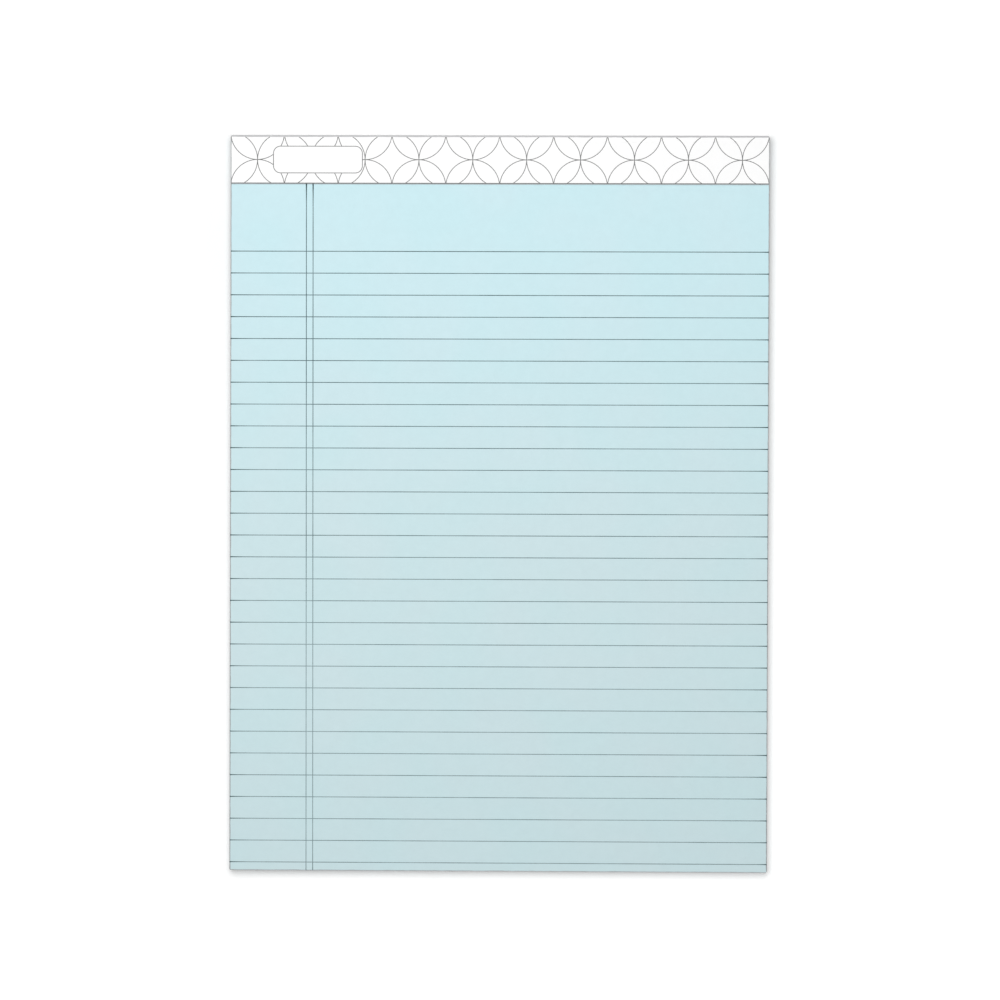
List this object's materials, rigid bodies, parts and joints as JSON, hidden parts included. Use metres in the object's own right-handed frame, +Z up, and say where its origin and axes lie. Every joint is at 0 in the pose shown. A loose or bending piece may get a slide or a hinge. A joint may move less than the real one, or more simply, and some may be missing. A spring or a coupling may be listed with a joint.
{
  "type": "legal pad",
  "caption": "Letter-size writing pad: ruled sheets with a margin line on a chipboard back, stapled at the head under a folded paper tape.",
  "frame": {"origin": "middle of the pad's back, on the surface that it lies on", "axes": "+X to the right of the ruled face, +Y along the sheets to the bound head, +Z up out of the ruled face"},
  "size_m": [0.216, 0.2954, 0.0059],
  "materials": {
    "sheet_paper": "matt pale blue writing paper",
    "chipboard": "matt grey-brown recycled chipboard",
    "tape_paper": "smooth white binding paper",
    "staple_wire": "bright galvanised wire",
    "ruling_ink": "thin grey ink on the sheet",
    "header_ink": "thin grey ink on the tape"
  },
  "bodies": {
    "root": {"ruled_sheets": "sheet_paper", "back_board": "chipboard", "header_tape": "tape_paper", "staple_1": "staple_wire", "staple_2": "staple_wire", "staple_3": "staple_wire", "sheet_ruling": "ruling_ink", "header_print": "header_ink"}
  },
  "joints": []
}
